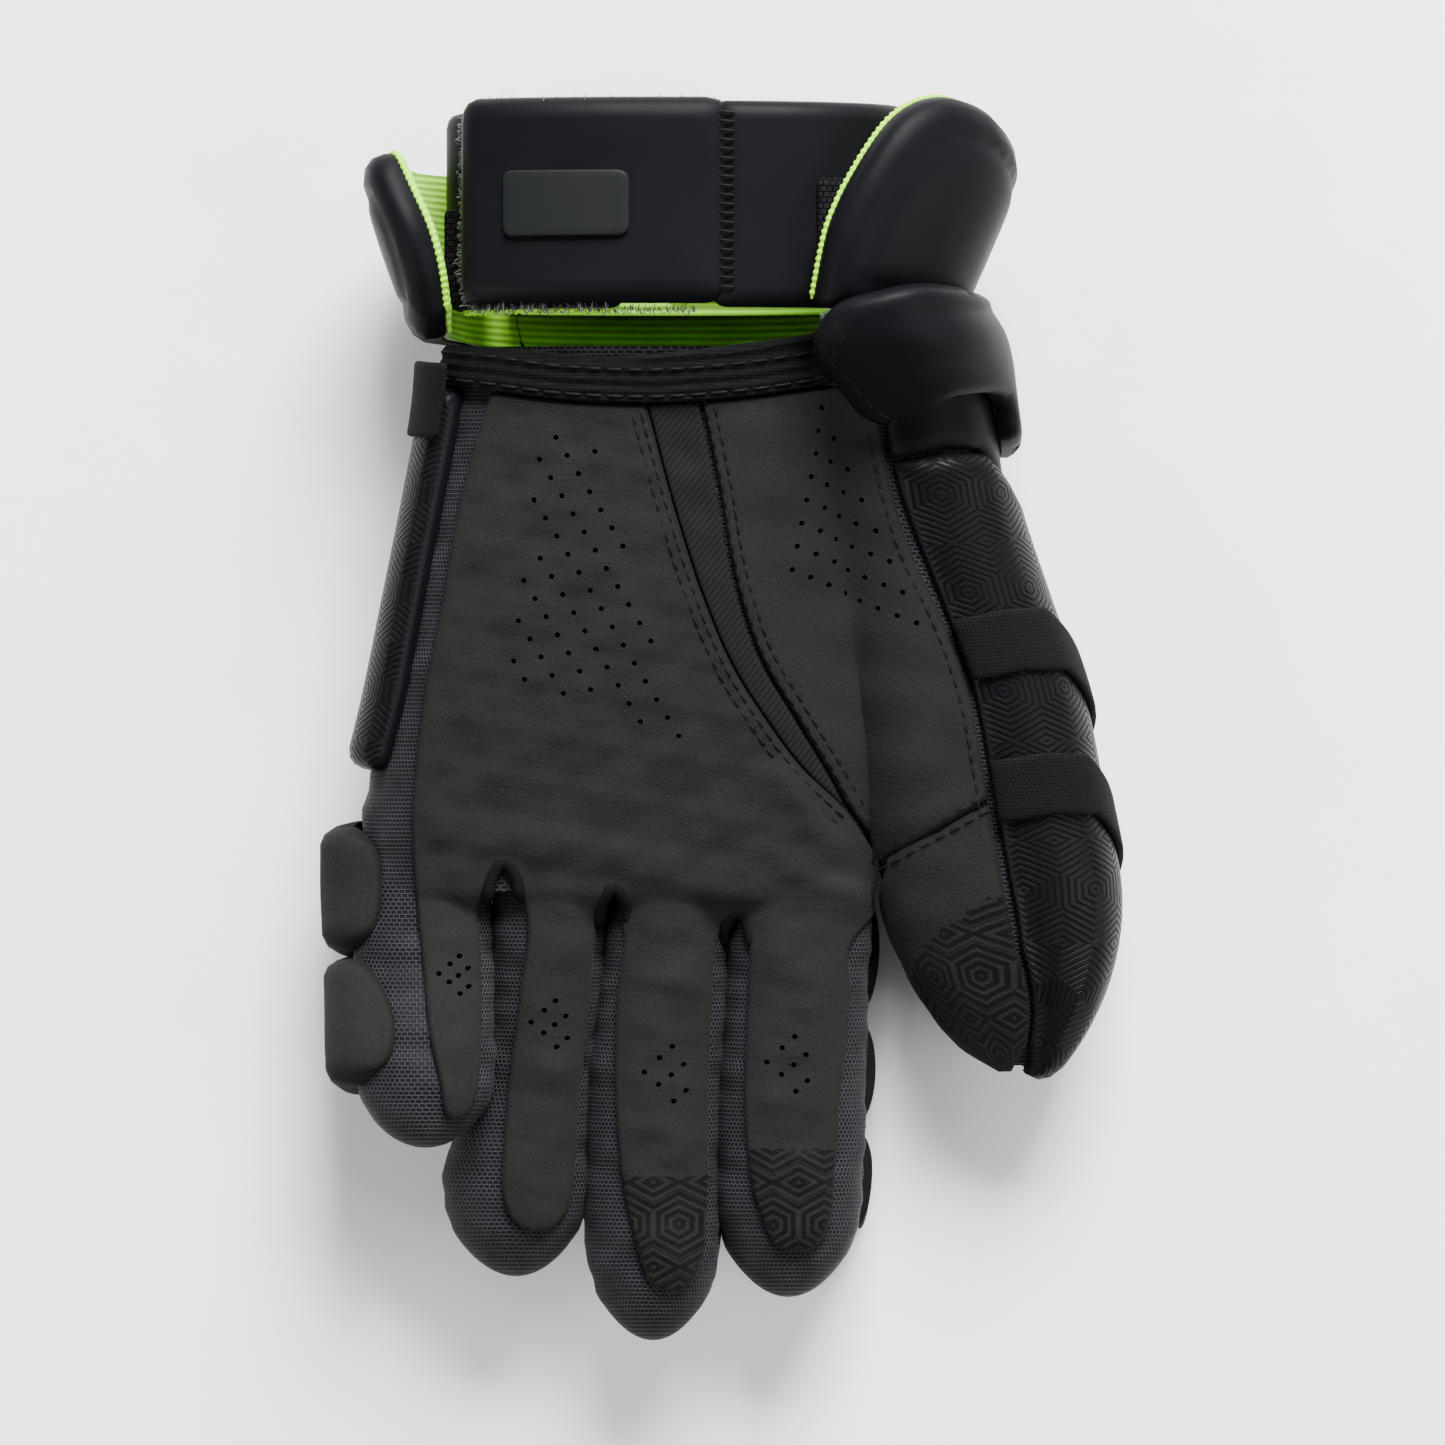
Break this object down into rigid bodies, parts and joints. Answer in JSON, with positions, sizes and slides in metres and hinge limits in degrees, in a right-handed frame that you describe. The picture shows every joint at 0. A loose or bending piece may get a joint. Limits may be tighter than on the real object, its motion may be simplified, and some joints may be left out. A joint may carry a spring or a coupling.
{
  "type": "lacrosse glove",
  "caption": "Padded left-hand lacrosse glove, palm up: suede palm with a stretch strip, mesh fingers, rolled back padding, jointed thumb, flared cuff with a wrist wrap and a thumb strap.",
  "frame": {"origin": "centre of the bounding box on the floor that the padded back rests on", "axes": "+X to the thumb side, +Y from the fingertips to the cuff, +Z out of the palm, away from the floor"},
  "size_m": [0.2138, 0.3274, 0.093],
  "materials": {
    "suede": "napped matt",
    "mesh_fabric": "woven matt",
    "textured_cover": "embossed satin",
    "smooth_cover": "smooth coated satin",
    "webbing": "ribbed matt",
    "lining": "knitted matt",
    "loop_pile": "looped pile",
    "rubber": "moulded matt"
  },
  "bodies": {
    "root": {"back_pad_knuckle_inner": "textured_cover", "back_pad_knuckle_outer": "textured_cover", "back_pad_middle_inner": "textured_cover", "back_pad_middle_outer": "textured_cover", "back_pad_upper": "textured_cover", "cuff_back": "smooth_cover", "edge_pad": "textured_cover", "elastic_pinky": "webbing", "elastic_thumb": "webbing", "hand_shell": "mesh_fabric", "index_pad_1": "suede", "index_pad_2": "suede", "index_pad_3": "suede", "index_shell": "mesh_fabric", "lining_back": "lining", "lining_pinky": "lining", "lining_thumb": "lining", "loop_patch": "loop_pile", "middle_pad_1": "suede", "middle_pad_2": "suede", "middle_pad_3": "suede", "middle_shell": "mesh_fabric", "palm_main": "suede", "palm_stretch": "webbing", "palm_thenar": "suede", "pinky_pad_1": "suede", "pinky_pad_2": "suede", "pinky_shell": "mesh_fabric", "ring_pad_1": "suede", "ring_pad_2": "suede", "ring_pad_3": "suede", "ring_shell": "mesh_fabric", "side_tab": "webbing", "tab_badge": "rubber", "thumb_band_1": "webbing", "thumb_band_2": "webbing", "thumb_cap": "textured_cover", "thumb_pad_middle": "textured_cover", "thumb_pad_upper": "textured_cover", "thumb_palm": "suede", "thumb_shell": "mesh_fabric", "thumb_sleeve": "smooth_cover", "thumb_strap": "smooth_cover", "wing_pinky": "smooth_cover", "wing_thumb": "smooth_cover", "wrap_back": "smooth_cover", "wrap_left": "smooth_cover", "wrap_lining_back": "lining", "wrap_lining_left": "lining", "wrap_lining_right": "lining", "wrap_right": "smooth_cover", "wrist_binding": "webbing", "wrist_tab": "smooth_cover"}
  },
  "joints": []
}
